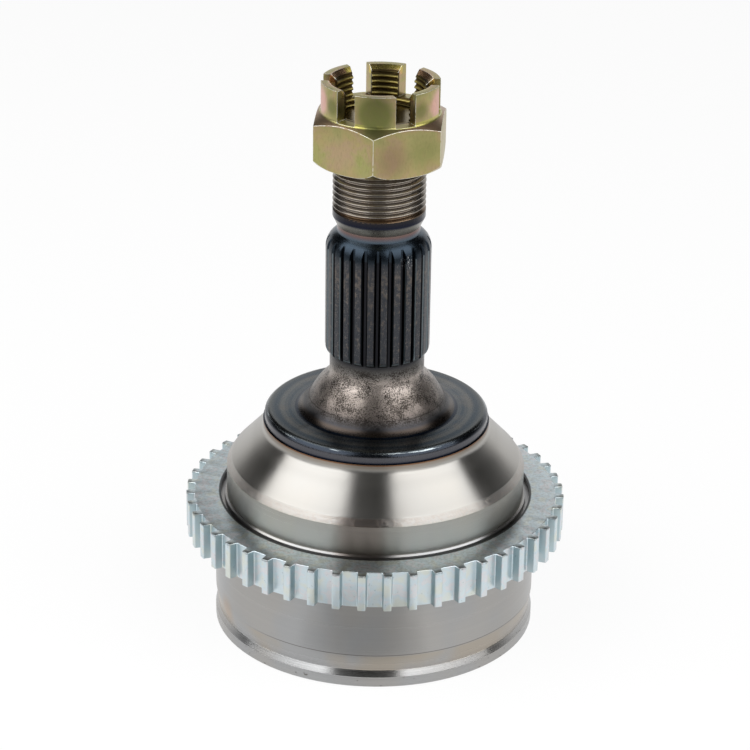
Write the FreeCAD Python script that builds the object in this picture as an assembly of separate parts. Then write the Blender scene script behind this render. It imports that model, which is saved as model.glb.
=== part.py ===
"""Fixed constant-velocity joint: bell with stub axle, tone ring, castle nut, cage, inner race and balls.

The origin is on the axis, in the plane of the bell's open mouth. +Z runs up the stub axle.
A corner of the nut faces -Y, so that one pair of its slots lies along X.
"""
import FreeCAD, Part
import math
import os

V = FreeCAD.Vector
AXIS = V(0, 0, 1)

# Driving dimensions: millimetres and degrees

# Bell, outside: each step is counted inwards from the wall below it
rim_step = 0.1
rim_height = 2.85
rim_chamfer = 0.25
boot_groove_flank = 1.6
boot_groove_depth = 0.77
boot_seat_top = 9.13
boot_seat_fillet = 8.0
shoulder_height = 26.3
ring_seat_step = 1.55
ring_seat_length = 8.3
lip_step = 1.0
lip_length = 2.0
lip_edge = 0.4
crown_step = 0.65
crown_height = 44.45
bevel_width = 1.3
bevel_height = 2.0
cone_fillet = 2.0
collar_step = 0.4
collar_length = 2.0

# Flange that the wheel bearing seats on
flange_height = 57.2
flange_radius = 29.4
flange_thickness = 3.2
flange_chamfer = 1.1

# Stub axle
flare_width = 7.5
flare_foot = 1.3
flare_height = 8.0
flare_taper = 3.8
flare_swell = 0.35
neck_fillet_width = 0.83
neck_fillet_height = 2.0
neck_step = 0.07
neck_length = 8.2
spline_radius = 13.6
spline_length = 29.0
spline_lead_in = 1.9
spline_dome = 4.35
spline_teeth = 25
spline_depth = 1.15
spline_root_width = 0.6
spline_mouth_width = 1.8
spline_phase = -2.4
relief_depth = 1.2
relief_length = 1.85
thread_radius = 11.95
thread_lead_in = 2.4
thread_length = 26.1
stub_end_chamfer = 1.0
centre_hole_radius = 3.4
centre_hole_angle = 30.0
pilot_radius = 1.3
pilot_depth = 7.0
pin_hole_radius = 2.5
pin_hole_from_end = 7.3

# Tone ring
ring_width = 9.9
ring_wall = 9.2
ring_tooth_depth = 2.2
ring_tooth_count = 48
ring_tip_width = 1.95
ring_flank_slope = 0.12
ring_tooth_phase = 1.75
ring_edge = 0.35

# Castle nut
nut_flats = 32.0
nut_hex_height = 13.9
nut_crown_height = 8.0
nut_crown_step = 0.9
nut_crown_edge = 0.5
nut_crown_land = 0.9
nut_crown_fillet = 0.8
nut_face_reach = 0.6
nut_face_angle = 56.0
nut_cone_angle = 30.0
nut_slot_width = 5.3
nut_slot_pairs = 3
nut_engaged_length = 12.2
nut_thread_clearance = 0.05
nut_face_chamfer = 0.7

# Joint inside the bell
joint_centre_height = 20.0
track_offset = 3.0
ball_radius = 8.335
ball_circle_radius = 30.2
ball_count = 6
first_ball_angle = 30.0
track_clearance = 0.15
track_wall = 3.965
track_run_angle = 27.0
cage_outer_step = 2.8
cage_inner_step = 2.2
cage_bar = 5.35
cage_edge = 0.4
cage_running_clearance = 0.15
window_axial_clearance = 0.315
window_side_clearance = 1.465
window_corner = 3.0
race_half_width = 12.5
race_edge = 0.5
mouth_wall = 4.05
mouth_depth = 8.0
cavity_depth = 27.5

# Splined bore of the inner race and its retaining ring
bore_radius = 12.2
bore_spline_teeth = 25
bore_spline_depth = 1.0
bore_spline_mouth_width = 1.55
bore_spline_root_width = 0.9
bore_chamfer = 0.9
clip_thickness = 1.5
clip_inner_clearance = 0.15
clip_wall = 1.5
clip_gap_angle = 24.0
clip_radial_clearance = 0.15
clip_axial_clearance = 0.05
clip_from_face = 3.0

# How far a cutting tool runs past the face that it cuts, and how near two edges count as one
overrun = 1.0
same_place = 0.001

# Heights along the axis, each worked out from the one below
lip_base = shoulder_height + ring_seat_length
lip_top = lip_base + lip_length
bevel_top = crown_height + bevel_height
flange_top = flange_height + flange_thickness
flare_top = flange_top + flare_height
spline_base = flare_top + neck_length
spline_top = spline_base + spline_length
relief_base = spline_top + spline_dome
relief_top = relief_base + relief_length
thread_base = relief_top + thread_lead_in
stub_end = thread_base + thread_length
nut_base = stub_end - nut_engaged_length
nut_slot_floor = nut_base + nut_hex_height
nut_top = nut_slot_floor + nut_crown_height

# Sizes shared by pieces that run on each other
track_radius = ball_radius + track_clearance
track_arc_radius = math.hypot(ball_circle_radius, track_offset)
outer_track_centre = V(0, 0, joint_centre_height - track_offset)
inner_track_centre = V(0, 0, joint_centre_height + track_offset)
joint_centre = V(0, 0, joint_centre_height)
cage_outer_radius = ball_circle_radius + cage_outer_step
cage_inner_radius = ball_circle_radius - cage_inner_step
outer_sphere_radius = cage_outer_radius + cage_running_clearance
inner_sphere_radius = cage_inner_radius - cage_running_clearance
window_half_height = ball_radius + window_axial_clearance
window_half_length = ball_radius + window_side_clearance
cage_half_width = window_half_height + cage_bar
cavity_height = joint_centre_height + cavity_depth
ball_angles = [first_ball_angle + 360.0 * i / ball_count for i in range(ball_count)]

# Radii of the bell, each worked out from the wall that it stands on
bell_radius = ball_circle_radius + track_radius + track_wall
rim_radius = bell_radius + rim_step
mouth_radius = bell_radius - mouth_wall
ring_seat_radius = bell_radius - ring_seat_step
ring_tip_radius = ring_seat_radius + ring_wall
lip_radius = ring_seat_radius - lip_step
crown_radius = lip_radius - crown_step

# Radii of the stub axle and the nut
spline_root_radius = spline_radius - spline_depth
neck_radius = spline_root_radius - neck_step
flare_radius = neck_radius + flare_width
relief_radius = thread_radius - relief_depth
nut_bore_radius = thread_radius + nut_thread_clearance
nut_crown_radius = nut_flats / 2 - nut_crown_step
nut_face_radius = nut_flats / 2 + nut_face_reach


class Outline:
    """A closed outline in the half plane of radius and height, drawn point by point and then turned."""

    def __init__(self, radius, height):
        self.first = V(radius, 0, height)
        self.last = self.first
        self.edges = []

    def line(self, radius, height):
        """Run straight to a point."""
        point = V(radius, 0, height)
        self.edges.append(Part.makeLine(self.last, point))
        self.last = point
        return self

    def arc(self, middle, end):
        """Run round an arc through one point to another, each given as radius and height."""
        through = V(middle[0], 0, middle[1])
        point = V(end[0], 0, end[1])
        self.edges.append(Part.Arc(self.last, through, point).toShape())
        self.last = point
        return self

    def leave_axially(self, radius, height):
        """Run round an arc that starts parallel to the axis and ends at a point."""
        return self.arc(*axial_arc((self.last.x, self.last.z), (radius, height)))

    def arrive_axially(self, radius, height):
        """Run round an arc that ends parallel to the axis at a point."""
        middle, _ = axial_arc((radius, height), (self.last.x, self.last.z))
        return self.arc(middle, (radius, height))

    def turned(self):
        """Close the outline and turn it round the axis into a solid."""
        closed = self.edges + [Part.makeLine(self.last, self.first)]
        return Part.Face(Part.Wire(closed)).revolve(V(0, 0, 0), AXIS, 360)


def axial_arc(tangent, end):
    """Middle and end of the arc that is parallel to the axis at its first point and passes the second."""
    width = end[0] - tangent[0]
    height = end[1] - tangent[1]
    radius = (width ** 2 + height ** 2) / (2 * abs(width))
    half_turn = math.asin(abs(height) / radius) / 2
    across = math.copysign(radius * (1 - math.cos(half_turn)), width)
    along = math.copysign(radius * math.sin(half_turn), height)
    return (tangent[0] + across, tangent[1] + along), end


def swollen_middle(start, end, swell):
    """Middle of the arc that stands out from the straight line between two points by a height."""
    width = end[0] - start[0]
    height = end[1] - start[1]
    length = math.hypot(width, height)
    return (start[0] + end[0]) / 2 + swell * height / length, (start[1] + end[1]) / 2 - swell * width / length


def turned_about_axis(shape, degrees):
    """A copy of a shape turned about the joint's axis."""
    copy = shape.copy()
    copy.rotate(V(0, 0, 0), AXIS, degrees)
    return copy


def prism(points, base, top):
    """A straight prism on a closed outline of points in plan, from one height to another."""
    corners = [V(x, y, base) for x, y in points]
    return Part.Face(Part.makePolygon(corners + corners[:1])).extrude(V(0, 0, top - base))


def spline_gap(root_radius, root_width, mouth_radius, mouth_width, base, top):
    """One gap between spline teeth, symmetric about -Y, carried past the wall that it opens through."""
    depth = mouth_radius - root_radius
    widening = (mouth_width - root_width) / abs(depth)
    past = mouth_radius + math.copysign(overrun, depth)
    half_root = root_width / 2
    half_past = (mouth_width + widening * overrun) / 2
    corners = [(-half_root, -root_radius), (half_root, -root_radius), (half_past, -past), (-half_past, -past)]
    return prism(corners, base, top)


def circles_at(shape, radius, height):
    """The round edges of a turned shape at one radius and height."""
    found = []
    for edge in shape.Edges:
        if isinstance(edge.Curve, Part.Circle):
            off_radius = abs(edge.Curve.Radius - radius)
            off_height = abs(edge.Curve.Center.z - height)
            if max(off_radius, off_height) < same_place:
                found.append(edge)
    return found


def bell_profile():
    """Outside of the bell, its flange and the stub axle, as one turned solid."""
    groove_foot = (bell_radius - boot_groove_depth, rim_height + boot_groove_flank)
    seat_slope = math.atan2(boot_groove_depth, boot_seat_top - groove_foot[1])
    seat_blend = boot_seat_fillet * math.tan(seat_slope / 2)
    collar_radius = flange_radius + collar_step
    collar_base = flange_height - collar_length
    cone_foot = (crown_radius - bevel_width, bevel_top)
    cone_slope = math.atan2(cone_foot[0] - collar_radius, collar_base - bevel_top)
    cone_blend = cone_fillet * math.tan(cone_slope / 2)
    flare_foot_end = (flare_radius - flare_foot, flange_top + flare_foot)
    flare_end = (flare_foot_end[0] - flare_taper, flare_top)

    outline = Outline(0, 0)
    outline.line(rim_radius - rim_chamfer, 0)
    outline.line(rim_radius, rim_chamfer)
    outline.line(rim_radius, rim_height)
    outline.line(*groove_foot)
    outline.line(bell_radius - seat_blend * math.sin(seat_slope), boot_seat_top - seat_blend * math.cos(seat_slope))
    outline.arrive_axially(bell_radius, boot_seat_top + seat_blend)
    outline.line(bell_radius, shoulder_height)
    outline.line(ring_seat_radius, shoulder_height)
    outline.line(ring_seat_radius, lip_base)
    outline.line(lip_radius, lip_base)
    outline.line(lip_radius, lip_top - lip_edge)
    outline.line(lip_radius - lip_edge, lip_top)
    outline.line(crown_radius, lip_top)
    outline.line(crown_radius, crown_height)
    outline.line(*cone_foot)
    outline.line(collar_radius + cone_blend * math.sin(cone_slope), collar_base - cone_blend * math.cos(cone_slope))
    outline.arrive_axially(collar_radius, collar_base + cone_blend)
    outline.line(collar_radius, flange_height)
    outline.line(flange_radius, flange_height)
    outline.line(flange_radius, flange_top - flange_chamfer)
    outline.line(flange_radius - flange_chamfer, flange_top)
    outline.line(flare_radius, flange_top)
    outline.arc(swollen_middle((flare_radius, flange_top), flare_foot_end, -flare_foot / 4), flare_foot_end)
    outline.arc(swollen_middle(flare_foot_end, flare_end, flare_swell), flare_end)
    outline.line(neck_radius + neck_fillet_width, flare_top + flare_end[0] - neck_radius - neck_fillet_width)
    outline.arrive_axially(neck_radius, outline.last.z + neck_fillet_height)
    outline.line(neck_radius, spline_base)
    outline.arrive_axially(spline_radius, spline_base + spline_lead_in)
    outline.line(spline_radius, spline_top)
    outline.leave_axially(relief_radius, relief_base)
    outline.line(relief_radius, relief_top)
    outline.line(thread_radius, thread_base)
    outline.line(thread_radius, stub_end - stub_end_chamfer)
    outline.line(thread_radius - stub_end_chamfer, stub_end)
    outline.line(0, stub_end)
    return outline.turned()


def bell_cavity():
    """The ball-shaped space that the cage turns in, with its flared mouth and its flat end."""
    mouth_sphere_radius = math.sqrt(outer_sphere_radius ** 2 - (joint_centre_height - mouth_depth) ** 2)
    end_radius = math.sqrt(outer_sphere_radius ** 2 - (cavity_height - joint_centre_height) ** 2)
    outline = Outline(0, -overrun)
    outline.line(mouth_radius, -overrun)
    outline.line(mouth_radius, 0)
    outline.line(mouth_sphere_radius, mouth_depth)
    outline.arc((outer_sphere_radius, joint_centre_height), (end_radius, cavity_height))
    outline.line(0, cavity_height)
    return outline.turned()


def ball_at(angle, centre, tilt, radius):
    """A ball on the track circle about a centre, at an angle round the axis and tilted up the track."""
    reach = track_arc_radius * math.cos(math.radians(tilt))
    rise = track_arc_radius * math.sin(math.radians(tilt))
    place = V(reach * math.cos(math.radians(angle)), reach * math.sin(math.radians(angle)), rise)
    return Part.makeSphere(radius, centre + place)


def outer_track(angle):
    """One ball track of the bell: a round groove that runs out of the mouth and ends in a ball shape."""
    rest_tilt = math.degrees(math.asin(track_offset / track_arc_radius))
    last_tilt = rest_tilt + track_run_angle
    first_tilt = -90.0
    sweep = last_tilt - first_tilt
    start = V(0, 0, -track_arc_radius) + outer_track_centre
    section = Part.Face(Part.Wire(Part.makeCircle(track_radius, start, V(1, 0, 0))))
    groove = section.revolve(outer_track_centre, V(0, -1, 0), sweep)
    groove.rotate(V(0, 0, 0), AXIS, angle)
    return groove.fuse(ball_at(angle, outer_track_centre, last_tilt, track_radius))


def outer_race():
    """Bell and stub axle, forged and machined as one piece."""
    body = bell_profile().cut(bell_cavity())
    body = body.cut([outer_track(angle) for angle in ball_angles])
    gap = spline_gap(spline_root_radius, spline_root_width, spline_radius, spline_mouth_width, spline_base,
                     relief_base)
    pitch = 360.0 / spline_teeth
    gaps = [turned_about_axis(gap, spline_phase + pitch * (i + 0.5)) for i in range(spline_teeth)]
    centre_depth = centre_hole_radius / math.tan(math.radians(centre_hole_angle))
    centre_hole = Part.makeCone(0, centre_hole_radius, centre_depth, V(0, 0, stub_end - centre_depth))
    pilot = Part.makeCylinder(pilot_radius, pilot_depth, V(0, 0, stub_end - pilot_depth))
    pin_height = stub_end - pin_hole_from_end
    reach = thread_radius + overrun
    pin_hole = Part.makeCylinder(pin_hole_radius, 2 * reach, V(-reach, 0, pin_height), V(1, 0, 0))
    return body.cut(gaps + [centre_hole, pilot, pin_hole])


def abs_ring():
    """Toothed ring pressed over the bell down to its shoulder, read by the wheel-speed sensor."""
    floor_radius = ring_tip_radius - ring_tooth_depth
    root_width = ring_tip_width + 2 * ring_flank_slope * ring_tooth_depth
    tip_half = math.asin(ring_tip_width / 2 / ring_tip_radius)
    root_half = math.asin(root_width / 2 / floor_radius)
    pitch = 2 * math.pi / ring_tooth_count

    def point(radius, turn):
        """A point in plan; the turn is counted from -Y."""
        return V(radius * math.sin(turn), -radius * math.cos(turn), shoulder_height)

    edges = []
    for i in range(ring_tooth_count):
        middle = math.radians(ring_tooth_phase) + pitch * i
        following = middle + pitch
        foot = point(floor_radius, middle - root_half)
        tip = point(ring_tip_radius, middle - tip_half)
        far_tip = point(ring_tip_radius, middle + tip_half)
        far_foot = point(floor_radius, middle + root_half)
        next_foot = point(floor_radius, following - root_half)
        edges.append(Part.makeLine(foot, tip))
        edges.append(Part.Arc(tip, point(ring_tip_radius, middle), far_tip).toShape())
        edges.append(Part.makeLine(far_tip, far_foot))
        edges.append(Part.Arc(far_foot, point(floor_radius, middle + pitch / 2), next_foot).toShape())
    toothed = Part.Face(Part.Wire(edges)).extrude(V(0, 0, ring_width))

    top = shoulder_height + ring_width
    bore = Outline(0, shoulder_height - overrun)
    bore.line(ring_seat_radius, shoulder_height - overrun)
    bore.line(ring_seat_radius, top - ring_edge)
    bore.line(ring_seat_radius + ring_edge, top)
    bore.line(ring_seat_radius + ring_edge, top + overrun)
    bore.line(0, top + overrun)
    return toothed.cut(bore.turned())


def castle_nut():
    """Hexagon nut with a slotted crown for the split pin."""
    corner_radius = nut_flats / 2 / math.cos(math.radians(30))
    corners = [math.radians(60 * i) for i in range(6)]
    hexagon = prism([(corner_radius * math.sin(a), -corner_radius * math.cos(a)) for a in corners], nut_base, nut_top)

    lower_corner = nut_base + (corner_radius - nut_face_radius) * math.tan(math.radians(nut_face_angle))
    upper_corner = nut_slot_floor - (corner_radius - nut_crown_radius) * math.tan(math.radians(nut_cone_angle))
    envelope = Outline(0, nut_base)
    envelope.line(nut_face_radius, nut_base)
    envelope.line(corner_radius, lower_corner)
    envelope.line(corner_radius, upper_corner)
    envelope.line(nut_crown_radius, nut_slot_floor)
    envelope.line(nut_crown_radius, nut_top - nut_crown_edge)
    envelope.line(nut_crown_radius - nut_crown_edge, nut_top)
    envelope.line(0, nut_top)
    turned = envelope.turned()
    turned = turned.makeFillet(nut_crown_fillet, circles_at(turned, nut_crown_radius, nut_slot_floor))
    body = hexagon.common(turned)

    mouth = nut_crown_radius - nut_crown_edge - nut_crown_land
    bore = Outline(0, nut_base - overrun)
    bore.line(nut_bore_radius + nut_face_chamfer, nut_base - overrun)
    bore.line(nut_bore_radius + nut_face_chamfer, nut_base)
    bore.line(nut_bore_radius, nut_base + nut_face_chamfer)
    bore.line(nut_bore_radius, nut_top - (mouth - nut_bore_radius))
    bore.line(mouth, nut_top)
    bore.line(mouth, nut_top + overrun)
    bore.line(0, nut_top + overrun)

    reach = corner_radius + overrun
    half = nut_slot_width / 2
    slot = prism([(-reach, -half), (reach, -half), (reach, half), (-reach, half)], nut_slot_floor, nut_top + overrun)
    slots = [turned_about_axis(slot, 180.0 * i / nut_slot_pairs) for i in range(nut_slot_pairs)]
    return body.cut([bore.turned()] + slots)


def cage():
    """Ring with ball-shaped faces and one window for each ball."""
    base = joint_centre_height - cage_half_width
    band = Part.makeCylinder(cage_outer_radius + overrun, 2 * cage_half_width, V(0, 0, base))
    shell = Part.makeSphere(cage_outer_radius, joint_centre).cut(Part.makeSphere(cage_inner_radius, joint_centre))
    shell = shell.common(band)
    end_radius = math.sqrt(cage_outer_radius ** 2 - cage_half_width ** 2)
    rims = circles_at(shell, end_radius, base) + circles_at(shell, end_radius, base + 2 * cage_half_width)
    shell = shell.makeChamfer(cage_edge, rims)
    depth = cage_outer_radius + overrun
    window = Part.makeBox(depth, 2 * window_half_length, 2 * window_half_height)
    window.translate(V(0, -window_half_length, joint_centre_height - window_half_height))
    along_axis = [e for e in window.Edges if abs(e.Vertexes[0].X - e.Vertexes[-1].X) > depth / 2]
    window = window.makeFillet(window_corner, along_axis)
    return shell.cut([turned_about_axis(window, angle) for angle in ball_angles])


def inner_race():
    """Star-shaped race with a ball-shaped outside, ball tracks and a splined bore."""
    base = joint_centre_height - race_half_width
    top = joint_centre_height + race_half_width
    face_radius = math.sqrt(inner_sphere_radius ** 2 - race_half_width ** 2)
    outline = Outline(0, base)
    outline.line(face_radius - race_edge, base)
    outline.arc((inner_sphere_radius, joint_centre_height), (face_radius - race_edge, top))
    outline.line(0, top)
    body = outline.turned()
    tracks = []
    for angle in ball_angles[:ball_count // 2]:
        across = V(-math.sin(math.radians(angle)), math.cos(math.radians(angle)), 0)
        tracks.append(Part.makeTorus(track_arc_radius, track_radius, inner_track_centre, across))

    bore = Outline(0, base - overrun)
    bore.line(bore_radius + bore_chamfer, base - overrun)
    bore.line(bore_radius + bore_chamfer, base)
    bore.line(bore_radius, base + bore_chamfer)
    bore.line(bore_radius, top - bore_chamfer)
    bore.line(bore_radius + bore_chamfer, top)
    bore.line(bore_radius + bore_chamfer, top + overrun)
    bore.line(0, top + overrun)
    root_radius = bore_radius + bore_spline_depth
    gap = spline_gap(root_radius, bore_spline_root_width, bore_radius, bore_spline_mouth_width, base, top)
    pitch = 360.0 / bore_spline_teeth
    gaps = [turned_about_axis(gap, pitch * i) for i in range(bore_spline_teeth)]

    groove_radius = clip_outer_radius() + clip_radial_clearance
    groove_width = clip_thickness + 2 * clip_axial_clearance
    groove = Part.makeCylinder(groove_radius, groove_width, V(0, 0, clip_base() - clip_axial_clearance))
    return body.cut(tracks + [bore.turned(), groove] + gaps)


def clip_base():
    """Height of the retaining ring's lower face, counted down from the race's upper face."""
    return joint_centre_height + race_half_width - clip_from_face - clip_thickness


def clip_outer_radius():
    """Outer radius of the retaining ring, which stands just clear of the shaft's tooth tips."""
    return bore_radius + clip_inner_clearance + clip_wall


def retaining_ring():
    """Open spring ring in a groove of the inner race's bore, which holds the drive shaft in."""
    inner_radius = bore_radius + clip_inner_clearance
    ring = Part.makeCylinder(clip_outer_radius(), clip_thickness, V(0, 0, clip_base()), AXIS, 360 - clip_gap_angle)
    ring = ring.cut(Part.makeCylinder(inner_radius, clip_thickness + 2 * overrun, V(0, 0, clip_base() - overrun)))
    return turned_about_axis(ring, clip_gap_angle / 2)


def ball(angle):
    """One steel ball, at rest in the middle plane of the joint."""
    rest_tilt = math.degrees(math.asin(track_offset / track_arc_radius))
    return ball_at(angle, outer_track_centre, rest_tilt, ball_radius)


def write(name, shape):
    """Write one piece, as a single clean solid, to its own file."""
    solids = shape.removeSplitter().Solids
    if len(solids) != 1:
        raise ValueError(f"{name} has {len(solids)} solids")
    solids[0].exportStep(f"parts/{name}.step")


os.makedirs("parts", exist_ok=True)
write("outer_race", outer_race())
write("abs_ring", abs_ring())
write("castle_nut", castle_nut())
write("cage", cage())
write("inner_race", inner_race())
write("retaining_ring", retaining_ring())
for number, angle in enumerate(ball_angles, start=1):
    write(f"ball_{number}", ball(angle))
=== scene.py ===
"""Looks of a constant-velocity joint: turned bell, zinc-plated tone ring, castle nut and the parts inside.

The file is laid out as an add-on and is run as a script. Lengths are in metres. The frame's origin is on the
joint's axis, in the plane of the bell's open mouth, with +Z up the stub axle.
"""
import math

import bpy
from mathutils import Matrix, Vector


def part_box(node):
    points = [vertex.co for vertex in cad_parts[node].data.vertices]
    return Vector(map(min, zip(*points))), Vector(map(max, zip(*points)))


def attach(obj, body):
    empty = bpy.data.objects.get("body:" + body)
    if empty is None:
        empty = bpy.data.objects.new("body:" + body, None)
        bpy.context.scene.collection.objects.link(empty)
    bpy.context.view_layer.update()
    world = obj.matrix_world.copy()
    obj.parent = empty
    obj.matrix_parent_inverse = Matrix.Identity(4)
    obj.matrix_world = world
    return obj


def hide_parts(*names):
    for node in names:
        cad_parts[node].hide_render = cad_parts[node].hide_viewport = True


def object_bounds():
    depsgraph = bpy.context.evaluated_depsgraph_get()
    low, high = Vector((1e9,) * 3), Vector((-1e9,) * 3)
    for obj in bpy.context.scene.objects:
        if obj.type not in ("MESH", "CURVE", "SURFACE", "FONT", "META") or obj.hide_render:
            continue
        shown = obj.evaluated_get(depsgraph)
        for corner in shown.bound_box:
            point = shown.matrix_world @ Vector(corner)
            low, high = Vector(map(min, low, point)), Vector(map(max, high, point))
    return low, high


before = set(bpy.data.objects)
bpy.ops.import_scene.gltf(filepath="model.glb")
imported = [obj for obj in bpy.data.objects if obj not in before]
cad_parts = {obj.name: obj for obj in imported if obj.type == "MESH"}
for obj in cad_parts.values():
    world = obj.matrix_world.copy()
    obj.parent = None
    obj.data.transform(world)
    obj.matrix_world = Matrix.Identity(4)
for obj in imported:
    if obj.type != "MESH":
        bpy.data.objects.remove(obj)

cad_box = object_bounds()

bl_info = {
    "name": "Constant-velocity joint",
    "version": (1, 0, 0),
    "blender": (4, 5, 0),
    "location": "View3D > Sidebar > Joint",
    "description": "Dresses the packed joint with its threads, edges, finishes, floor, light and camera",
    "category": "Object",
}

MM = 0.001
FULL_TURN = 2 * math.pi
SAME_POINT = 0.001 * MM

# Heights on the bell in millimetres, where its turned wall has an edge
RIM_TOP, GROOVE_TOP, SCRIBED_LINE, BEVEL_LOW, BEVEL_HIGH = 2.85, 4.45, 9.13, 44.45, 46.45

# The flange's outer edge in millimetres, as radius and height: where its top's chamfer starts and ends
FLANGE_EDGE = ((28.3, 60.4), (29.4, 59.3))

# Height in millimetres above which the forging has its dark skin
FORGING_BASE = 57.25

# Outline in millimetres of the fillet at the flare's foot, as radius and height
FLARE_FOOT = [
    (17.0, 60.2), (21.3, 60.2), (21.3, 60.43), (20.9, 60.5), (20.4, 60.72), (19.9, 61.05), (19.4, 61.45),
    (18.9, 61.95), (18.45, 62.55), (18.1, 63.2), (17.85, 63.8), (17.4, 63.9)]

# The nut's rounded underside in millimetres, as radius and height over its lowest face
NUT_UNDERSIDE = [(13.0, 0), (14.2, 0.3), (15.5, 0.7), (16.6, 1.15), (17.4, 1.7), (18.0, 2.3)]

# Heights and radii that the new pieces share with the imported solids, read from the solids' own boxes
stub_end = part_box("outer_race")[1].z
nut_low, nut_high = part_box("castle_nut")
ring_low, ring_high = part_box("abs_ring")
RING_TOP = ring_high.z / MM


# Sizes and colours

class JointSizes(bpy.types.PropertyGroup):
    """Sizes of the pieces that are modelled here."""

    thread_radius: bpy.props.FloatProperty(
        name="Thread radius", description="Crest radius of the stub axle's thread", default=11.95 * MM, unit="LENGTH")
    thread_pitch: bpy.props.FloatProperty(
        name="Thread pitch", description="Rise of the thread in one turn", default=1.5 * MM, unit="LENGTH")
    thread_start: bpy.props.FloatProperty(
        name="Thread start", description="Height at which the thread's first turn runs out",
        default=116.0 * MM, unit="LENGTH")
    thread_phase: bpy.props.FloatProperty(
        name="Thread phase", description="Height of a root of the thread at +X, within one pitch",
        default=0.0, unit="LENGTH")


class JointColours(bpy.types.PropertyGroup):
    """Colours of the finishes."""

    turned_steel: bpy.props.FloatVectorProperty(
        name="Turned steel", description="Bright turned wall of the bell", subtype="COLOR", size=3, min=0, max=1,
        default=(0.39, 0.387, 0.384))
    zinc: bpy.props.FloatVectorProperty(
        name="Zinc", description="Pale plating of the tone ring", subtype="COLOR", size=3, min=0, max=1,
        default=(0.68, 0.76, 0.785))
    yellow_zinc: bpy.props.FloatVectorProperty(
        name="Yellow zinc", description="Plating of the nut", subtype="COLOR", size=3, min=0, max=1,
        default=(0.43, 0.35, 0.16))


# Materials

class Value:
    """A socket in a material's node tree that takes part in Python arithmetic."""

    def __init__(self, nodes, socket):
        self.nodes = nodes
        self.socket = socket

    def maths(self, operation, *values):
        """A Math node that works on these values in order."""
        return self.nodes.node("ShaderNodeMath", {"operation": operation}, dict(enumerate(values)))

    def __add__(self, other):
        return self.maths("ADD", self, other)

    def __radd__(self, other):
        return self.maths("ADD", other, self)

    def __sub__(self, other):
        return self.maths("SUBTRACT", self, other)

    def __rsub__(self, other):
        return self.maths("SUBTRACT", other, self)

    def __mul__(self, other):
        return self.maths("MULTIPLY", self, other)

    def __rmul__(self, other):
        return self.maths("MULTIPLY", other, self)


class Nodes:
    """A node tree, and the one way to add a node to it."""

    def __init__(self, tree):
        self.tree = tree

    def node(self, kind, settings, inputs, output=0):
        """Add a node: its settings first, then the values or links of its sockets. Returns one output, if any."""
        node = self.tree.nodes.new(kind)
        for name, setting in settings.items():
            if name == "stops":
                self._set_stops(node.color_ramp, setting)
            else:
                setattr(node, name, setting)
        for name, value in inputs.items():
            self._feed(node.inputs[name], value)
        return Value(self, node.outputs[output]) if node.outputs else None

    @staticmethod
    def _set_stops(ramp, stops):
        while len(ramp.elements) < len(stops):
            ramp.elements.new(0.5)
        for element, (place, colour) in zip(ramp.elements, stops):
            element.position = place
            element.color = (*colour, 1)

    def _feed(self, socket, value):
        if isinstance(value, Value):
            self.tree.links.new(value.socket, socket)
        elif socket.type == "RGBA" and len(value) == 3:
            socket.default_value = (*value, 1)
        else:
            socket.default_value = value


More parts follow.
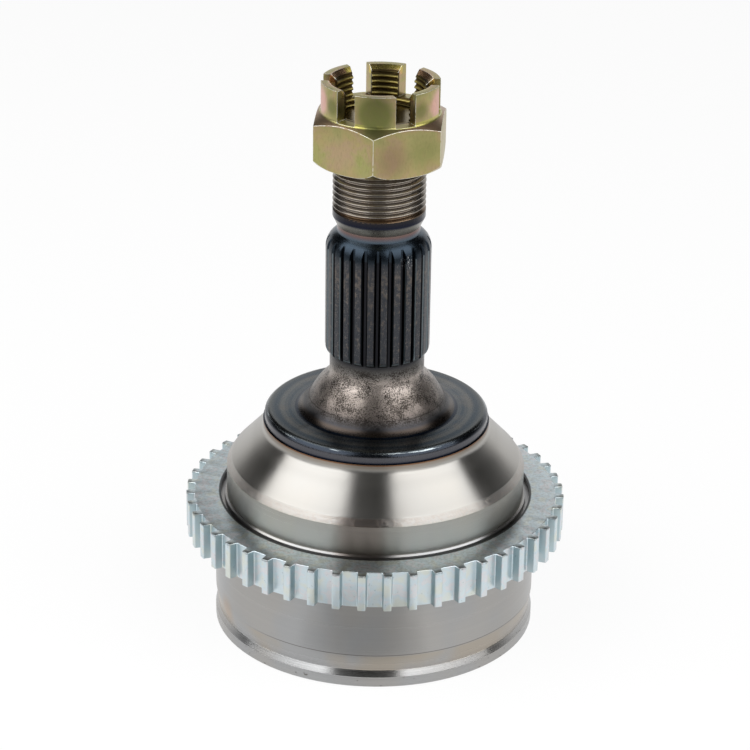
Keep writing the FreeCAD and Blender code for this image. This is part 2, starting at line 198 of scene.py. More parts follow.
class Finish(Nodes):
    """A material made of a Principled shader and the nodes that vary it."""

    def __init__(self, name, **constants):
        self.material = bpy.data.materials.new(name)
        self.material.use_nodes = True
        super().__init__(self.material.node_tree)
        self.shader = self.tree.nodes["Principled BSDF"]
        self.set(**constants)

    def set(self, **sockets):
        """Link or set the Principled shader's own sockets."""
        for name, value in sockets.items():
            self._feed(self.shader.inputs[name.replace("_", " ")], value)

    def place(self):
        """Where a point is on the object, in millimetres: vector, x, y, z and distance from the axis."""
        metres = self.node("ShaderNodeTexCoord", {}, {}, "Object")
        vector = self.node("ShaderNodeVectorMath", {"operation": "SCALE"}, {0: metres, "Scale": 1 / MM})
        x, y, z = (self.node("ShaderNodeSeparateXYZ", {}, {0: vector}, letter) for letter in "XYZ")
        radius = self.node("ShaderNodeMath", {"operation": "SQRT"}, {0: x * x + y * y})
        return vector, x, y, z, radius

    def around(self, x, y, *others):
        """A vector that runs round the axis: the angle, four units to the radian, then up to two more values.

        The angle is counted from -Y, so that its seam is at the back.
        """
        angle = self.node("ShaderNodeMath", {"operation": "ARCTAN2"}, {0: x, 1: 0.0 - y})
        return self.node("ShaderNodeCombineXYZ", {}, dict(enumerate([angle * 4.0, *others])), "Vector")

    def noise(self, vector, scale, detail=3.0, roughness=0.5, distortion=0.0):
        """Fractal noise between 0 and 1; the scale is in cells per millimetre."""
        return self.node("ShaderNodeTexNoise", {"noise_dimensions": "3D"},
                         {"Vector": vector, "Scale": scale, "Detail": detail, "Roughness": roughness,
                          "Distortion": distortion}, "Fac")

    def lines(self, position, scale, detail=2.0, seed=0.0):
        """Noise along one value, for tool marks; the scale is in cells per millimetre."""
        return self.node("ShaderNodeTexNoise", {"noise_dimensions": "1D"},
                         {"W": position + seed, "Scale": scale, "Detail": detail}, "Fac")

    def step(self, value, low, high, start=0.0, end=1.0):
        """Smooth step from start to end as a value goes from low to high."""
        return self.node("ShaderNodeMapRange", {"interpolation_type": "SMOOTHSTEP"},
                         {"Value": value, "From Min": low, "From Max": high, "To Min": start, "To Max": end})

    def band(self, value, low, high, soft):
        """1 between two values, falling to 0 past each over a soft edge."""
        return self.step(value, low - soft, low) * self.step(value, high, high + soft, 1.0, 0.0)

    def mix(self, factor, first, second):
        """Colour between two colours."""
        return self.node("ShaderNodeMix", {"data_type": "RGBA"}, {0: factor, 6: first, 7: second}, 2)

    def coats(self, base, rows):
        """Lay one colour after another over a base: pairs of a mask, which says how much, and a colour."""
        for mask, colour in rows:
            base = self.mix(mask, base, colour)
        return base

    def ramp(self, value, stops):
        """Colour from a row of stops between 0 and 1."""
        return self.node("ShaderNodeValToRGB", {"stops": stops}, {0: value}, "Color")

    def blotch(self, vector, centre, core, reach):
        """1 within a distance of a point in millimetres, falling softly to 0."""
        distance = self.node("ShaderNodeVectorMath", {"operation": "DISTANCE"}, {0: vector, 1: centre}, "Value")
        return self.step(distance, core, reach, 1.0, 0.0)

    def zones(self, height, stops):
        """Colour by height: pairs of millimetres and colour, from the lowest up."""
        low, high = stops[0][0], stops[-1][0]
        return self.ramp((height - low) * (1 / (high - low)),
                         [((place - low) / (high - low), colour) for place, colour in stops])

    def bump(self, height, distance, strength=1.0):
        """Surface relief; the distance is in metres."""
        return self.node("ShaderNodeBump", {}, {"Height": height, "Distance": distance, "Strength": strength},
                         "Normal")


def shade(colour, share):
    """A colour made lighter or darker."""
    return tuple(min(1.0, part * share) for part in colour)


def turned_steel(colour):
    """Satin turned wall of the bell: fine tool lines, warm and cool patches, a scribed line, heat tint and a painted
    dark reflection stripe down the front.
    """
    finish = Finish("turned_steel", Metallic=1.0, Anisotropic=0.9, Anisotropic_Rotation=0.25)
    vector, x, y, z, radius = finish.place()
    along = z + radius
    fine = finish.lines(along, 6.0, 3.0)
    coarse = finish.lines(along, 0.7, 2.0, 31.0)
    patches = finish.noise(vector, 0.05, 2.0)
    marks = finish.noise(vector, 1.1, 3.0, 0.7)
    cool, warm = shade((0.98, 0.99, 1.0), colour[0]), shade((1.04, 1.01, 0.97), colour[0])
    tool_lines = (fine * 0.5 + coarse * 0.5) * 0.35
    tan = finish.band(z, GROOVE_TOP + 0.15, 8.6, 0.5) * finish.step(patches, 0.42, 0.6)
    cone = finish.step(z, 43.0, 47.0)
    crown = finish.band(radius, 39.3, 39.6, 0.1) * finish.step(z, 20.0, 24.0)
    bevel = finish.band(z + (marks - 0.5) * 1.1, BEVEL_LOW + 0.15, BEVEL_HIGH - 0.25, 0.08)
    chatter = finish.step(marks, 0.45, 0.6)
    # Painted reflection: a dark brown stripe down the front of the bell above the ring, where the wall shows a dark
    # reflection.
    painted_dark_stripe = finish.step(x * x, 60.0, 8.0) * finish.step(y, -25.0, -35.0) * finish.band(z, 36.0, 46.0, 0.5)
    collar = finish.step(z, 55.3, 56.6)
    burnt = finish.step(z, 56.75, 56.95) * finish.step(radius, 29.0, 29.3)
    rust = finish.blotch(vector, (-37.0, -21.0, 8.5), 1.0, 5.0)
    scribed = finish.band(z, SCRIBED_LINE - 0.08, SCRIBED_LINE + 0.07, 0.06) * finish.step(x, -34.0, -20.0)
    specks = finish.step(finish.noise(vector, 0.9, 1.0), 0.7, 0.73) * finish.step(z, GROOVE_TOP - 0.05, RIM_TOP - 0.05)
    base = finish.coats(finish.mix(finish.step(patches, 0.38, 0.62), cool, warm), [
        (tool_lines, shade(colour, 0.68)),
        (tan * 0.55, (0.40, 0.34, 0.26)),
        (cone * 0.6, shade((1.08, 1.03, 0.94), colour[0])),
        (crown * 0.4, (0.26, 0.255, 0.205)),
        (bevel * (0.25 + 0.5 * chatter), (0.43, 0.39, 0.355)),
        (painted_dark_stripe * 0.45, (0.14, 0.085, 0.06)),
        (collar * 0.75, (0.27, 0.225, 0.18)),
        (burnt * 0.8, (0.2, 0.085, 0.03)),
        (rust * 0.35, (0.45, 0.27, 0.12)),
        (scribed * 0.7, (0.1, 0.09, 0.08)),
        (specks * 0.7, (0.08, 0.07, 0.06))])
    rim = finish.band(z, RIM_TOP - 0.25, GROOVE_TOP + 0.15, 0.1)
    rough = 0.22 + 0.11 * fine + 0.06 * coarse + 0.07 * (bevel * chatter) + 0.1 * collar - 0.07 * rim
    finish.set(Base_Color=base, Roughness=rough)
    finish.set(Normal=finish.bump(fine + coarse + bevel * chatter, 0.02 * MM, 0.5))
    return finish.material


def dark_forging():
    """Flange, flare, neck and spline: hardened steel with heat tints, pits, rings and worn lands, a painted shade line
    at the flare's foot and painted glints on the spline.
    """
    finish = Finish("dark_forging", Metallic=1.0, Anisotropic=0.75, Anisotropic_Rotation=0.25)
    vector, x, y, z, radius = finish.place()

    # From the flange's underside over its edge and up the flare, then spline, dome, groove and thread's foot
    base = finish.zones(z, [
        (57.2, (0.015, 0.02, 0.035)), (57.5, (0.02, 0.025, 0.04)), (57.8, (0.085, 0.085, 0.095)),
        (59.0, (0.1, 0.1, 0.11)), (59.3, (0.03, 0.035, 0.045)), (60.4, (0.035, 0.045, 0.06)),
        (60.6, (0.045, 0.04, 0.038)), (61.3, (0.075, 0.06, 0.05)), (62.0, (0.05, 0.05, 0.055)),
        (63.0, (0.09, 0.085, 0.085)), (64.5, (0.18, 0.155, 0.14)), (68.0, (0.27, 0.235, 0.21)),
        (70.0, (0.42, 0.37, 0.335)), (72.3, (0.4, 0.355, 0.32)), (73.6, (0.21, 0.195, 0.18)),
        (75.0, (0.12, 0.115, 0.11)), (76.3, (0.04, 0.04, 0.043)),
        (78.5, (0.048, 0.051, 0.058)), (104.5, (0.05, 0.053, 0.06)), (105.8, (0.023, 0.03, 0.038)),
        (107.5, (0.022, 0.03, 0.04)), (109.4, (0.04, 0.056, 0.075)), (110.3, (0.09, 0.12, 0.15)),
        (111.0, (0.13, 0.11, 0.12)), (111.5, (0.17, 0.105, 0.095)), (112.3, (0.18, 0.17, 0.145)),
        (113.8, (0.17, 0.165, 0.15)), (114.3, (0.012, 0.015, 0.028)), (116.0, (0.03, 0.028, 0.03))])
    grain = finish.noise(vector, 3.1, 3.0, 0.65)
    cluster = finish.noise(vector, 0.3, 2.0)
    specks = finish.noise(vector, 4.2, 2.0, 0.5)
    pits = finish.step(specks + (cluster - 0.5) * 0.55, 0.465, 0.545) * finish.band(z, 63.2, 74.6, 1.8)

    # The flange's flat top: blue and grey rings, a brown cloud and a painted shade line in the crease round the
    # flare's foot
    top = finish.step(radius, 20.6, 21.4) * finish.step(z, 59.9, 60.3)
    rings = finish.mix(finish.step(finish.lines(radius, 0.55, 3.0), 0.3, 0.7),
                       (0.035, 0.052, 0.068), (0.09, 0.098, 0.1))
    cloud = finish.step(finish.noise(vector, 0.16, 3.0, 0.6), 0.45, 0.65) * finish.band(radius, 22.0, 25.0, 1.5)
    rings = finish.mix(cloud * 0.25, rings, (0.15, 0.125, 0.1))
    # Painted shade: the dark line in the crease at the flare's foot.
    painted_foot_shade = finish.band(radius, 20.7, 21.3, 0.3) * finish.band(z, 60.2, 60.6, 0.1)
    edge = finish.band(radius, 28.7, 28.9, 0.08) * finish.band(z, 59.6, 60.15, 0.1)
    streak = finish.step(finish.noise(finish.around(x, y, radius * 1.5, z * 1.5), 0.7, 5.0, 0.7), 0.48, 0.6)

    # The spline: dark lands with worn streaks and grain, black gaps, a fine pale line along each flank and painted
    # glints by one tooth's upper end
    splined = finish.band(z, 77.0, 105.4, 0.4)
    land = finish.step(radius, 12.9, 13.4)
    rubbed = finish.noise(finish.around(x, y, z * 0.25), 3.2, 5.0, 0.7) + finish.step(z, 90.0, 100.0) * 0.07
    worn = finish.step(rubbed, 0.52, 0.66) * finish.step(z, 104.8, 101.5)
    # Painted glints: white flecks at one spot by a tooth's upper end, standing in for highlights.
    painted_glints = finish.blotch(vector, (8.6, -10.4, 105.0), 0.6, 2.6) * finish.step(grain, 0.58, 0.64)
    base = finish.coats(base, [
        (pits * 0.9, (0.025, 0.021, 0.018)),
        (top, rings),
        (painted_foot_shade, (0.012, 0.02, 0.035)),
        (edge * streak * 0.9, (0.5, 0.56, 0.58)),
        (splined * land * worn * 0.5, (0.19, 0.155, 0.125)),
        (splined * land * finish.step(grain, 0.58, 0.66) * 0.4, (0.3, 0.28, 0.26)),
        (splined * (1 - land) * 0.8, (0.012, 0.012, 0.014)),
        (splined * finish.band(radius, 13.2, 13.42, 0.08) * 0.8, (0.2, 0.24, 0.26)),
        (painted_glints, (0.8, 0.8, 0.8))])
    finish.set(Base_Color=base, Roughness=0.2 + 0.16 * grain + 0.06 * finish.band(z, 62.0, 105.0, 1.0))
    finish.set(Normal=finish.bump(grain * 0.2 - pits, 0.06 * MM, 0.5))
    return finish.material


def thread_steel():
    """Rolled thread: taupe steel with lighter crests, and a scorched last turn."""
    finish = Finish("thread_steel", Metallic=1.0)
    vector, _, _, z, radius = finish.place()
    stain = finish.noise(vector, 0.35, 4.0, 0.6)
    crest = finish.step(radius, 11.25, 11.85)
    base = finish.coats(finish.mix(crest, (0.22, 0.195, 0.17), (0.31, 0.285, 0.255)), [
        (finish.step(stain, 0.4, 0.7) * 0.4, (0.22, 0.17, 0.12)),
        (finish.step(z, 117.6, 116.4) * 0.8, (0.13, 0.075, 0.035)),
        (finish.step(z, 137.0, 138.5) * 0.95, (0.17, 0.13, 0.055))])
    finish.set(Base_Color=base, Roughness=0.2 + 0.1 * stain)
    return finish.material


def zinc_plate(colour):
    """Clear zinc on the tone ring: pale bluish white, mottled, with dark burrs at the teeth's upper ends, painted
    shadow on the teeth's flanks and painted shade round the bore.
    """
    finish = Finish("zinc_plate", Metallic=1.0)
    vector, _, _, z, radius = finish.place()
    mottle = finish.noise(vector, 0.5, 4.0, 0.65)
    film = finish.ramp(finish.noise(vector, 0.25, 2.0), [
        (0.35, (0.78, 0.77, 0.62)), (0.45, colour), (0.52, (0.62, 0.76, 0.84)), (0.6, (0.82, 0.71, 0.72)),
        (0.68, colour)])
    ragged = z + finish.noise(vector, 1.8, 4.0, 0.75) * 1.8
    burr = finish.step(ragged, RING_TOP + 0.35, RING_TOP + 0.8) * finish.step(radius, 48.9, 49.7)
    # Painted shadow: the teeth's flanks below the top face are painted blue-grey.
    painted_flank_shadow = finish.band(radius, 48.4, 49.95, 0.12) * finish.step(z, RING_TOP - 0.1, RING_TOP - 0.3)
    flat = finish.step(z, RING_TOP - 0.15, RING_TOP - 0.05)
    speckle = finish.step(finish.noise(vector, 1.1, 5.0, 0.75), 0.4, 0.65)
    dents = finish.step(finish.noise(vector, 1.3, 2.0, 0.6), 0.66, 0.72)
    # Painted shade: a nearly black ring round the bore, where the gap between ring and bell is in shadow.
    painted_gap_shade = finish.step(radius, 41.8, 41.5)
    base = finish.coats(finish.mix(mottle, shade(colour, 0.78), shade(colour, 1.04)), [
        (0.4, film),
        (burr * 0.55, (0.12, 0.13, 0.13)),
        (painted_flank_shadow * 0.7, (0.36, 0.47, 0.5)),
        (flat * speckle * 0.5, (0.36, 0.39, 0.37)),
        (dents * 0.35, (0.25, 0.3, 0.32)),
        (painted_gap_shade * 0.92, (0.015, 0.015, 0.017))])
    finish.set(Base_Color=base, Roughness=0.27 + 0.22 * mottle)
    finish.set(Normal=finish.bump(mottle - burr - dents * 0.5, 0.05 * MM, 0.4))
    return finish.material


def yellow_zinc_plate(name, colour, worn=0.0):
    """Yellow chromated zinc on the nut: khaki with pink and green patches, bare and pale where it is worn, with
    painted shade on the right face, a painted highlight at the crown's foot and painted light and shade on the inner
    thread.
    """
    finish = Finish(name, Metallic=1.0)
    vector, x, _, z, radius = finish.place()
    patches = finish.noise(vector, 0.13, 3.0, 0.6, 0.4)
    upright = finish.node("ShaderNodeVectorMath", {"operation": "MULTIPLY"}, {0: vector, 1: (1.0, 1.0, 0.3)})
    grain = finish.noise(upright, 2.6, 4.0, 0.7)
    pink, lilac, painted_shade_brown = (0.45, 0.315, 0.21), (0.74, 0.42, 0.37), (0.28, 0.19, 0.115)
    green, lime = (0.16, 0.18, 0.052), (0.33, 0.36, 0.12)
    # Chromate patches; the brown blotch on the right face by the front corner is chromate hue with painted shade that
    # darkens that face.
    base = finish.coats(finish.ramp(patches, [
        (0.34, (0.36, 0.335, 0.14)), (0.42, (0.4, 0.36, 0.155)), (0.5, colour), (0.56, (0.44, 0.33, 0.19)),
        (0.62, (0.41, 0.355, 0.16)), (0.68, (0.35, 0.325, 0.13))]), [
        (finish.blotch(vector, centre, core, reach) * share, tint) for tint, share, centre, core, reach in (
            (pink, 0.65, (-8.5, -13.5, 134.0), 1.0, 6.5), (painted_shade_brown, 0.75, (4.5, -16.0, 134.0), 1.0, 7.5),
            (green, 0.4, (12.0, -11.0, 135.0), 1.0, 6.5), (green, 0.8, (0.0, -15.1, 145.5), 3.0, 6.0),
            (lime, 0.6, (-2.5, -17.0, 132.0), 1.0, 4.5), (lime, 0.5, (-15.0, -10.0, 132.0), 1.0, 5.0),
            (green, 0.8, (-11.2, -10.2, 145.5), 1.0, 3.4), (lilac, 0.85, (-14.3, -5.0, 145.6), 2.2, 4.6),
            (green, 0.7, (11.2, -10.4, 145.5), 0.8, 3.4), (lilac, 0.8, (14.6, -4.0, 145.5), 2.0, 5.0))])

    # The cone on the hexagon, a painted highlight on the fillet at the foot of the crown, the chamfer inside it and
    # the thread with painted light on its crests and painted shade in its roots
    cone = finish.band(z + radius * 0.577, 150.5, 150.9, 0.12) * finish.step(radius, 15.3, 15.6)
    # Painted highlight: yellow-green on the fillet at the crown's foot.
    foot = finish.band(z, 141.75, 142.7, 0.2) * finish.band(radius, 14.6, 15.4, 0.1)
    sink = finish.band(radius, 12.15, 13.4, 0.1) * finish.step(z, 147.6, 148.0)
    gold = finish.mix(finish.step(patches, 0.42, 0.58), (0.62, 0.5, 0.12), (0.6, 0.34, 0.2))
    # Painted highlight and shade: the inner thread's crests are gold-brown and its roots nearly black.
    thread = finish.mix(finish.step(radius, 11.3, 11.85), (0.33, 0.27, 0.09), (0.06, 0.04, 0.015))
    base = finish.coats(base, [
        (cone * finish.step(x * x, 20.0, 70.0) * 0.7, (0.43, 0.275, 0.2)),
        (foot * finish.step(patches, 0.4, 0.55) * 0.6, (0.5, 0.5, 0.1)),
        (sink * 0.8, gold),
        (finish.step(grain, 0.45, 0.75) * 0.3, (0.2, 0.17, 0.08)),
        (finish.step(radius, 12.2, 12.0), thread)])
    if worn:
        bare = finish.step(finish.noise(vector, 0.9, 4.0, 0.7), 0.36, 0.5) * worn
        base = finish.mix(bare, base, (0.86, 0.85, 0.76))
    finish.set(Base_Color=base, Roughness=0.25 + 0.2 * grain - 0.1 * sink + 0.12 * worn)
    finish.set(Normal=finish.bump(grain, 0.03 * MM, 0.4))
    return finish.material


def ground_steel(name, colour, rough, dark=0.5):
    """Hardened and ground steel of the parts inside, with faint stains; dark says how dark they are."""
    finish = Finish(name, Metallic=1.0)
    vector = finish.place()[0]
    stain = finish.noise(vector, 0.2, 4.0, 0.6)
    marks = finish.noise(vector, 2.5, 4.0, 0.6)
    base = finish.mix(stain, shade(colour, dark), colour)
    finish.set(Base_Color=base, Roughness=rough + 0.12 * marks)
    return finish.material


# Modelling by hand

def deselect_all():
    """Nothing selected and nothing in edit mode."""
    if bpy.context.object and bpy.context.object.mode != "OBJECT":
        bpy.ops.object.mode_set(mode="OBJECT")
    bpy.ops.object.select_all(action="DESELECT")


def take(piece):
    """Make one object the only one selected, and active."""
    deselect_all()
    piece.select_set(True)
    bpy.context.view_layer.objects.active = piece


def edit(piece, select="DESELECT"):
    """Enter edit mode on one object, with all or nothing of it selected."""
    take(piece)
    bpy.ops.object.mode_set(mode="EDIT")
    bpy.ops.mesh.select_mode(type="VERT")
    bpy.ops.mesh.select_all(action=select)


def leave_edit():
    """Back to object mode."""
    bpy.ops.object.mode_set(mode="OBJECT")


def choose(piece, kind, test):
    """Select the edges or faces whose corners pass a test, and nothing else, and stay in edit mode."""
    edit(piece)
    bpy.ops.mesh.select_mode(type=kind)
    leave_edit()
    mesh = piece.data
    for element in {"EDGE": mesh.edges, "FACE": mesh.polygons}[kind]:
        element.select = bool(test(*(mesh.vertices[i].co for i in element.vertices)))
    bpy.ops.object.mode_set(mode="EDIT")


def draw(name, points):
    """An open line in the XZ plane, drawn by extruding one vertex from point to point of radius and height."""
    deselect_all()
    bpy.ops.mesh.primitive_plane_add(size=MM, location=(points[0][0], 0, points[0][1]))
    piece = bpy.context.object
    piece.name = name
    piece.data.name = name
    bpy.ops.object.transform_apply(location=True)
    edit(piece, "SELECT")
    bpy.ops.mesh.merge(type="CENTER")
    for (r0, z0), (r1, z1) in zip(points, points[1:]):
        bpy.ops.mesh.extrude_region_move(TRANSFORM_OT_translate={"value": (r1 - r0, 0, z1 - z0)})
    leave_edit()
    return piece


def tidy_shell(piece, merge=SAME_POINT):
    """Merge doubles and turn the faces outwards."""
    edit(piece, "SELECT")
    bpy.ops.mesh.remove_doubles(threshold=merge)
    bpy.ops.mesh.normals_make_consistent(inside=False)
    leave_edit()


def turn(name, points, steps=120):
    """A solid turned about the axis from an outline that starts and ends on it, or at one and the same point."""
    piece = draw(name, points)
    edit(piece, "SELECT")
    bpy.ops.mesh.remove_doubles(threshold=SAME_POINT)
    bpy.ops.mesh.spin(steps=steps, angle=FULL_TURN, center=(0, 0, 0), axis=(0, 0, 1))
    leave_edit()
    tidy_shell(piece)
    return piece


def apply_modifier(piece, kind, **settings):
    """Add a modifier with these settings and apply it."""
    take(piece)
    modifier = piece.modifiers.new(kind.lower(), kind)
    for name, setting in settings.items():
        setattr(modifier, name, setting)
    bpy.ops.object.modifier_apply(modifier=modifier.name)


def combine(piece, tool, operation):
    """Cut, join or keep the common part of a piece and a tool, which is used up."""
    apply_modifier(piece, "BOOLEAN", operation=operation, object=tool, solver="EXACT")
    bpy.data.objects.remove(tool)


def slice_off(piece, height, above):
    """Cut a piece at a height and take away what is above or below it, which leaves the cut open."""
    edit(piece, "SELECT")
    bpy.ops.mesh.bisect(plane_co=(0, 0, height), plane_no=(0, 0, 1), clear_outer=above, clear_inner=not above)
    leave_edit()


def close_ends(piece):
    """Merge doubles, close every open end with a face and turn the faces outwards."""
    tidy_shell(piece)
    edit(piece, "SELECT")
    bpy.ops.mesh.fill_holes(sides=0)
    bpy.ops.mesh.normals_make_consistent(inside=False)
    leave_edit()


def mark_circles(piece, heights, reach=0.01 * MM):
    """Keep the edges sharp that run round the axis at these heights."""
    def on_circle(a, b):
        level = abs(a.z - b.z) < reach and abs(a.xy.length - b.xy.length) < reach
        return level and any(abs(a.z - height) < reach for height in heights)

    choose(piece, "EDGE", on_circle)
    bpy.ops.mesh.mark_sharp()
    leave_edit()


def round_circles(piece, circles, offset, reach=0.02 * MM):
    """Round the edges that run round the axis at these radii and heights."""
    def on_circle(a, b):
        return any(all(abs(point.z - height) < reach and abs(point.xy.length - radius) < reach for point in (a, b))
                   for radius, height in circles)

    choose(piece, "EDGE", on_circle)
    bpy.ops.mesh.bevel(offset=offset, segments=3, profile=0.5, affect="EDGES", clamp_overlap=True)
    leave_edit()


def smooth_by_angle(piece, degrees=32):
    """Smooth shading with sharp edges kept."""
    take(piece)
    bpy.ops.object.shade_smooth_by_angle(angle=math.radians(degrees))


def threaded_rod(name, profile, pitch, low, high, steps=96):
    """A right-hand threaded rod from one turn's outline, given as rise within the pitch and radius."""
    turns = math.ceil((high - low) / pitch) + 2
    start = math.floor(low / pitch - 1) * pitch
    rod = draw(name, [(radius, start + rise) for rise, radius in profile])
    apply_modifier(rod, "SCREW", angle=FULL_TURN, screw_offset=pitch, iterations=turns, steps=steps,
                   render_steps=steps, use_merge_vertices=False)
    tidy_shell(rod, 2 * SAME_POINT)
    slice_off(rod, high, above=True)
    slice_off(rod, low, above=False)
    close_ends(rod)
    return rod


def copy_of_node(node, name):
    """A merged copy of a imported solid's mesh, as a new piece."""
    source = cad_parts[node]
    piece = source.copy()
    piece.data = source.data.copy()
    piece.name = name
    piece.data.name = name
    for key in list(piece.keys()):
        del piece[key]
    piece.parent = None
    bpy.context.scene.collection.objects.link(piece)
    piece.data.materials.clear()
    edit(piece, "SELECT")
    bpy.ops.mesh.remove_doubles(threshold=SAME_POINT)
    leave_edit()
    bpy.ops.mesh.customdata_custom_splitnormals_clear()
    return piece


def finish_piece(piece, material, body, slot, *nodes):
    """Give a piece its material and say what it rides on and stands for. The slot is not used."""
    if material:
        piece.data.materials.clear()
        piece.data.materials.append(material)
    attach(piece, body)
    if nodes:
        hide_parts(*nodes)


def dress_node(node, material):
    """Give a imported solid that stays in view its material."""
    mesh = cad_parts[node].data
    mesh.materials.clear()
    mesh.materials.append(material)


def thread_outline(root, crest, pitch, phase=0.0):
    """One turn of a 60-degree thread with round crests and roots, as rise and radius, from root to root."""
    spare = pitch * math.sin(math.radians(60)) - (crest - root)
    hollow, crown = spare * 0.55, spare * 0.45
    angles = [math.radians(angle) for angle in (0, 30, 60)]
    lower = [(hollow * math.sin(a), root + hollow * (1 - math.cos(a))) for a in angles]
    lower += [(pitch / 2 - crown * math.sin(a), crest - crown * (1 - math.cos(a))) for a in reversed(angles)]
    upper = [(pitch - z, r) for z, r in reversed(lower[:-1])]
    return [(z + phase, r) for z, r in lower + upper]


# Pieces

class JOINT_OT_bell(bpy.types.Operator):
    """Bell, flange and splined stub up to the thread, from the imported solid"""

    bl_idname = "joint.bell"
    bl_label = "Bell and stub axle"

    def execute(self, context):
        sizes, colours = context.scene.joint_sizes, context.scene.joint_colours
        bell = copy_of_node("outer_race", "bell")
        slice_off(bell, sizes.thread_start, above=True)
        close_ends(bell)
        round_circles(bell, [(radius * MM, height * MM) for radius, height in FLANGE_EDGE], 0.45 * MM)
        mark_circles(bell, [height * MM for height in (BEVEL_HIGH, BEVEL_LOW, SCRIBED_LINE, GROOVE_TOP, RIM_TOP)])
        smooth_by_angle(bell, 24)
        finish_piece(bell, turned_steel(tuple(colours.turned_steel)), "root", "bell_steel", "outer_race")
        forging = dark_forging()
        bell.data.materials.append(forging)
        skin_base = (FORGING_BASE - 0.1) * MM
        for face in bell.data.polygons:
            face.material_index = int(all(bell.data.vertices[i].co.z > skin_base for i in face.vertices))

        outline = [(radius * MM, height * MM) for radius, height in FLARE_FOOT]
        foot = turn("flare_foot", outline + outline[:1])
        smooth_by_angle(foot, 40)
        finish_piece(foot, forging, "root", "bell_steel", "outer_race")
        return {"FINISHED"}


class JOINT_OT_stub_thread(bpy.types.Operator):
    """Threaded end of the stub axle, with its centre hole and split-pin hole"""

    bl_idname = "joint.stub_thread"
    bl_label = "Stub axle thread"

    def execute(self, context):
        sizes = context.scene.joint_sizes
        crest, pitch, depth = sizes.thread_radius, sizes.thread_pitch, 0.92 * MM
        outline = thread_outline(crest - depth, crest, pitch, sizes.thread_phase)
        rod = threaded_rod("stub_thread", outline, pitch, sizes.thread_start - 0.2 * MM, stub_end)
        low, wide, chamfer = sizes.thread_start - 1 * MM, crest + 1 * MM, 1.0 * MM
        blank = turn("blank", [(0, low), (wide, low), (wide, stub_end - 2 * MM), (crest - chamfer, stub_end),
                               (0, stub_end)])
        combine(rod, blank, "INTERSECT")

        mouth, pilot, above = 3.4 * MM, 1.3 * MM, stub_end + 1 * MM
        pilot_end, countersink = stub_end - 7 * MM, (mouth - pilot) / math.tan(math.radians(30))
        drill = turn("drill", [(0, pilot_end), (pilot, pilot_end), (pilot, stub_end - countersink),
                               (mouth, stub_end), (mouth, above), (0, above)], 48)
        combine(rod, drill, "DIFFERENCE")

        pin_radius, pin_drop = 2.5 * MM, 7.3 * MM
        deselect_all()
        bpy.ops.mesh.primitive_cylinder_add(vertices=48, radius=pin_radius, depth=30 * MM,
                                            location=(0, 0, stub_end - pin_drop), rotation=(0, math.pi / 2, 0))
        pin_drill = bpy.context.object
        bpy.ops.object.transform_apply(location=True, rotation=True)
        combine(rod, pin_drill, "DIFFERENCE")
        tidy_shell(rod)
        smooth_by_angle(rod)
        finish_piece(rod, thread_steel(), "root", "bell_steel", "outer_race")
        return {"FINISHED"}


def toothed_ring():
    """The toothed ring: one tooth drawn, raised and rounded, then copied round the axis and joined."""
    teeth, tip, seat, tooth_height = 48, ring_high.x, 41.1 * MM, 2.2 * MM
    half_tip_width, half_foot_width = 0.975 * MM, 1.239 * MM
    floor, pitch = tip - tooth_height, FULL_TURN / teeth
    tip_half, foot_half = math.asin(half_tip_width / tip), math.asin(half_foot_width / floor)
    middle = math.radians(1.75)    # where the first tooth stands, counted from -Y
    outside = [(floor, -pitch / 2), (floor, -pitch / 3), (floor, -foot_half), (tip, -tip_half), (tip, 0),
               (tip, tip_half), (floor, foot_half), (floor, pitch / 3), (floor, pitch / 2)]
    inside = [(seat, pitch / 2), (seat, pitch / 6), (seat, -pitch / 6), (seat, -pitch / 2)]
    corners = [(r * math.sin(middle + a), -r * math.cos(middle + a)) for r, a in outside + inside]
    deselect_all()
    bpy.ops.mesh.primitive_plane_add(size=MM, location=(*corners[0], ring_low.z))
    ring = bpy.context.object
    ring.name = "tone_ring"
    ring.data.name = "tone_ring"
    bpy.ops.object.transform_apply(location=True)
    edit(ring, "SELECT")
    bpy.ops.mesh.merge(type="CENTER")
    for (x0, y0), (x1, y1) in zip(corners, corners[1:]):
        bpy.ops.mesh.extrude_region_move(TRANSFORM_OT_translate={"value": (x1 - x0, y1 - y0, 0)})
    bpy.ops.mesh.select_all(action="SELECT")
    bpy.ops.mesh.edge_face_add()
    bpy.ops.mesh.extrude_region_move(TRANSFORM_OT_translate={"value": (0, 0, ring_high.z - ring_low.z)})

    def turn_of(point):
        return math.atan2(point.x, -point.y) - middle

    def on_joint(point):
        return abs(abs(turn_of(point)) - pitch / 2) < 1e-4

    def end_wall(*points):
        return all(on_joint(point) for point in points) and len({turn_of(point) > 0 for point in points}) == 1

    def outer_edge(a, b):
        outer = min(a.xy.length, b.xy.length) > seat + 1 * MM
        upright = abs(a.z - b.z) > 1 * MM
        flat_run = upright and abs(a.xy.length - floor) < SAME_POINT and abs(turn_of(a)) > foot_half * 1.2
        mid_tip = upright and abs(turn_of(a)) < tip_half * 0.5
        return outer and not (on_joint(a) and on_joint(b)) and not flat_run and not mid_tip

    choose(ring, "FACE", end_wall)
    bpy.ops.mesh.delete(type="FACE")
    choose(ring, "EDGE", outer_edge)
    bpy.ops.mesh.bevel(offset=0.22 * MM, segments=3, profile=0.5, affect="EDGES", clamp_overlap=True)
    bpy.ops.mesh.select_all(action="SELECT")
    bpy.ops.mesh.spin(steps=teeth - 1, angle=FULL_TURN - pitch, center=(0, 0, 0), axis=(0, 0, 1), dupli=True)
    leave_edit()
    tidy_shell(ring, 5 * SAME_POINT)
    return ring


class JOINT_OT_tone_ring(bpy.types.Operator):
    """Toothed ring pressed over the bell"""

    bl_idname = "joint.tone_ring"
    bl_label = "Tone ring"

    def execute(self, context):
        ring = toothed_ring()
        smooth_by_angle(ring)
        finish_piece(ring, zinc_plate(tuple(context.scene.joint_colours.zinc)), "root", "ring_zinc", "abs_ring")
        return {"FINISHED"}


